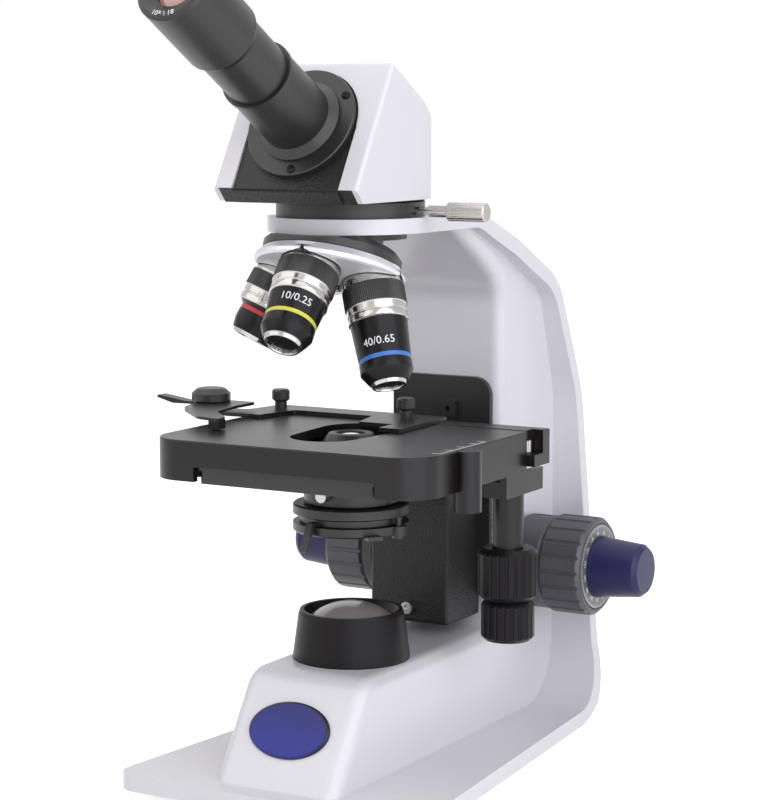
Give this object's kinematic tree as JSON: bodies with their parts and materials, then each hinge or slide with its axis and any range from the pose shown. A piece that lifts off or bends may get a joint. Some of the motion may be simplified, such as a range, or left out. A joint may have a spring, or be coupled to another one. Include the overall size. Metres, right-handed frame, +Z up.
{
  "type": "monocular microscope",
  "caption": "Upright teaching microscope with an inclined eyepiece tube, a tilted turret of objectives, a geared mechanical stage, an iris condenser and a lamp in its foot",
  "frame": {"origin": "on the table under the middle of the instrument's overall box, at rest", "axes": "+X to the user's right, +Y back from the user towards the arm, +Z up"},
  "size_m": [0.1901, 0.268, 0.331],
  "materials": {
    "white_paint": "satin white enamel over a die casting",
    "black_sheet": "black sheet",
    "foot_rubber": "black rubber",
    "black_plastic": "satin black plastic",
    "lens_glass": "clear glass",
    "heat_sink": "bare aluminium",
    "badge_blue": "domed blue resin",
    "bare_steel": "ground steel",
    "black_metal": "satin black enamel",
    "plated_steel": "nickel plate, knurled",
    "knob_grey": "moulded grey plastic",
    "scale_silver": "spun aluminium",
    "knob_blue": "moulded blue plastic",
    "black_crackle": "fine textured black enamel",
    "stage_black": "hard satin black",
    "white_nylon": "white nylon",
    "turret_chrome": "satin chrome",
    "barrel_black": "black and chromed brass",
    "cover_white": "white enamelled plastic"
  },
  "bodies": {
    "stand": {"base_arm_casting": "white_paint", "bottom_cover": "black_sheet", "rubber_feet": "foot_rubber", "illuminator_collar": "black_plastic", "field_lens": "lens_glass", "led_module": "heat_sink", "dc_inlet": "black_plastic", "badge": "badge_blue", "focus_guides": "bare_steel", "shaft_bushes": "black_metal", "head_socket": "black_metal", "nosepiece_mount": "black_metal", "turret_pivot_screw": "plated_steel"},
    "head_screw": {"head_clamp_screw": "plated_steel"},
    "dimmer": {"brightness_dial": "knob_grey"},
    "tension_collar": {"tension_ring": "knob_grey"},
    "coarse_drive": {"coarse_pinion_shaft": "bare_steel", "coarse_knob_right": "knob_grey", "coarse_knob_left": "knob_grey", "focus_scale_ring": "scale_silver"},
    "fine_drive": {"fine_shaft": "bare_steel", "fine_knobs": "knob_blue"},
    "stage_carrier": {"carrier_slide": "bare_steel", "dust_plate": "black_metal", "carrier_bracket": "black_crackle", "carrier_screws": "plated_steel", "stop_block": "black_metal", "lower_stage_plate": "black_metal", "condenser_mount": "black_metal", "condenser_body": "black_metal", "condenser_lens": "lens_glass", "iris_leaves": "bare_steel", "filter_hinge": "black_metal"},
    "iris": {"iris_ring": "black_metal"},
    "filter": {"filter_holder": "black_metal", "filter_glass": "lens_glass"},
    "stage": {"stage_top": "stage_black", "x_guide_rail": "stage_black", "drive_housing": "stage_black"},
    "y_drive": {"y_pinion_shaft": "bare_steel", "y_knob": "black_plastic"},
    "x_drive": {"x_pinion_shaft": "bare_steel", "x_knob": "black_plastic"},
    "slide_carriage": {"slide_bar": "stage_black", "x_rack": "white_nylon", "slide_holder": "stage_black", "holder_screws": "black_metal"},
    "slide_clamp": {"clamp_finger": "stage_black", "clamp_knob": "black_metal"},
    "turret": {"nosepiece_turret": "turret_chrome", "objective_4x": "barrel_black", "objective_10x": "barrel_black", "objective_40x": "barrel_black", "objective_lenses": "lens_glass"},
    "head": {"head_base": "black_crackle", "head_cover": "cover_white", "head_prism": "lens_glass", "eyepiece_tube": "black_metal"},
    "eyepiece": {"eyepiece_barrel": "black_metal", "eyepiece_lens": "lens_glass"}
  },
  "joints": [
    {"name": "head_turn", "type": "hinge", "parent": "stand", "child": "head", "pos_m": [0.00985, -0.00403, 0.235], "axis": [0, 0, 1], "continuous": true},
    {"name": "head_clamp_turn", "type": "hinge", "parent": "stand", "child": "head_screw", "pos_m": [0.05485, -0.00403, 0.2346], "axis": [1, 0, 0], "range_deg": [0, 720]},
    {"name": "eyepiece_turn", "type": "hinge", "parent": "head", "child": "eyepiece", "pos_m": [0.00985, -0.04203, 0.2696], "axis": [0, -0.866, 0.5], "continuous": true},
    {"name": "nosepiece_turn", "type": "hinge", "parent": "stand", "child": "turret", "pos_m": [0.00985, -0.02094, 0.20966], "axis": [0, 0.342, 0.9397], "continuous": true},
    {"name": "stage_focus", "type": "slide", "parent": "stand", "child": "stage_carrier", "axis": [0, 0, 1], "range_m": [-0.003, 0.007]},
    {"name": "coarse_turn", "type": "hinge", "parent": "stand", "child": "coarse_drive", "pos_m": [0.00985, 0.09997, 0.0776], "axis": [1, 0, 0], "range_deg": [-100.8, 43.5]},
    {"name": "fine_turn", "type": "hinge", "parent": "stand", "child": "fine_drive", "pos_m": [0.00985, 0.09997, 0.0776], "axis": [1, 0, 0], "continuous": true},
    {"name": "tension_adjust", "type": "hinge", "parent": "stand", "child": "tension_collar", "pos_m": [0.04485, 0.09997, 0.0776], "axis": [1, 0, 0], "range_deg": [-45, 45]},
    {"name": "stage_y", "type": "slide", "parent": "stage_carrier", "child": "stage", "axis": [0, 1, 0], "range_m": [-0.01, 0.018]},
    {"name": "y_knob_turn", "type": "hinge", "parent": "stage", "child": "y_drive", "pos_m": [0.06515, 0.02797, 0.09], "axis": [0, 0, 1], "range_deg": [-119.9, 215.4]},
    {"name": "stage_x", "type": "slide", "parent": "stage", "child": "slide_carriage", "axis": [1, 0, 0], "range_m": [-0.008, 0.05]},
    {"name": "x_knob_turn", "type": "hinge", "parent": "stage", "child": "x_drive", "pos_m": [0.06515, 0.02797, 0.066], "axis": [0, 0, 1], "range_deg": [-597.3, 96]},
    {"name": "slide_clamp_swing", "type": "hinge", "parent": "slide_carriage", "child": "slide_clamp", "pos_m": [-0.07015, 0.01437, 0.149], "axis": [0, 0, 1], "range_deg": [-30, 0], "stiffness_Nm_per_rad": 0.02},
    {"name": "iris_turn", "type": "hinge", "parent": "stage_carrier", "child": "iris", "pos_m": [0.00985, -0.00403, 0.1089], "axis": [0, 0, 1], "range_deg": [-35, 35]},
    {"name": "filter_swing", "type": "hinge", "parent": "stage_carrier", "child": "filter", "pos_m": [0.03295, -0.00603, 0.1086], "axis": [0, 0, 1], "range_deg": [-80, 0]},
    {"name": "brightness_turn", "type": "hinge", "parent": "stand", "child": "dimmer", "pos_m": [-0.01815, 0.05797, 0.032], "axis": [1, 0, 0], "range_deg": [0, 270]}
  ],
  "couplings": [
    {"joint": "coarse_turn", "follows": "stage_focus", "rad_per_m": -250},
    {"joint": "y_knob_turn", "follows": "stage_y", "rad_per_m": 208.33},
    {"joint": "x_knob_turn", "follows": "stage_x", "rad_per_m": -208.33}
  ]
}
